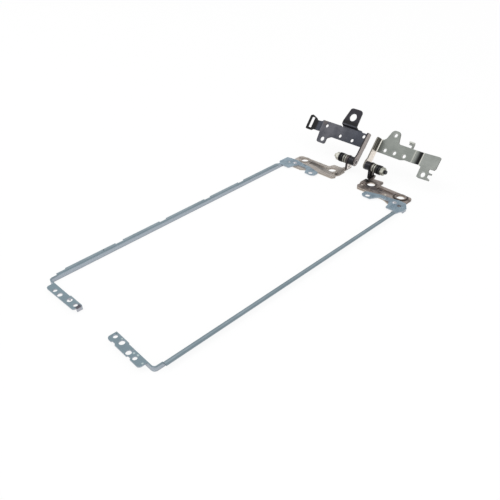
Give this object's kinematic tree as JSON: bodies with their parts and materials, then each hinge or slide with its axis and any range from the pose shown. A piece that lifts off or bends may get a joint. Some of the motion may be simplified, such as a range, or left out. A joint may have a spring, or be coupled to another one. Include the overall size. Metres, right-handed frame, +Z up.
{
  "type": "laptop hinge pair",
  "caption": "Left and right laptop display hinges: each has a long L-shaped display rail riveted to a pressed arm, and a friction shaft that carries a folded base bracket.",
  "frame": {"origin": "centre of the pair's outline, on the table that the display rails lie on", "axes": "+Y along the rails from the foot tabs to the shafts, +Z up from the table, +X towards the right hinge"},
  "size_m": [0.1096, 0.2394, 0.0357],
  "materials": {
    "zinc_steel": "zinc-plated sheet, satin",
    "nickel_steel": "nickel-plated sheet, satin",
    "bright_steel": "bright plated, satin",
    "black_steel": "black oxide, oiled",
    "nut_steel": "yellowish zinc plating",
    "left_bracket_steel": "dark blue-grey plating, glossy",
    "right_bracket_steel": "zinc plating, greenish grey, satin"
  },
  "bodies": {
    "display_side": {"left_display_rail": "zinc_steel", "right_display_rail": "zinc_steel", "left_hinge_arm": "nickel_steel", "right_hinge_arm": "nickel_steel", "left_outer_rivet": "bright_steel", "right_outer_rivet": "bright_steel", "left_inner_rivet": "bright_steel", "right_inner_rivet": "bright_steel", "left_tab_washer": "bright_steel", "right_tab_washer": "bright_steel"},
    "left_base": {"left_shaft": "black_steel", "left_keyed_washer_1": "black_steel", "left_keyed_washer_2": "bright_steel", "left_keyed_washer_3": "black_steel", "left_keyed_washer_4": "bright_steel", "left_spring_washer_1": "black_steel", "left_spring_washer_2": "black_steel", "left_spring_washer_3": "black_steel", "left_spring_washer_4": "black_steel", "left_nut": "nut_steel", "left_base_bracket": "left_bracket_steel"},
    "right_base": {"right_shaft": "black_steel", "right_keyed_washer_1": "black_steel", "right_keyed_washer_2": "bright_steel", "right_keyed_washer_3": "black_steel", "right_keyed_washer_4": "bright_steel", "right_spring_washer_1": "black_steel", "right_spring_washer_2": "black_steel", "right_spring_washer_3": "black_steel", "right_spring_washer_4": "black_steel", "right_nut": "nut_steel", "right_base_bracket": "right_bracket_steel"}
  },
  "joints": [
    {"name": "left_hinge", "type": "hinge", "parent": "display_side", "child": "left_base", "pos_m": [-0.00809, 0.09725, 0.00796], "axis": [0.9998, 0.018, 0], "range_deg": [-13.5, 126.5]},
    {"name": "right_hinge", "type": "hinge", "parent": "display_side", "child": "right_base", "pos_m": [0.01688, 0.09893, 0.00796], "axis": [0.9998, -0.018, 0], "range_deg": [-15.5, 124.5]}
  ]
}
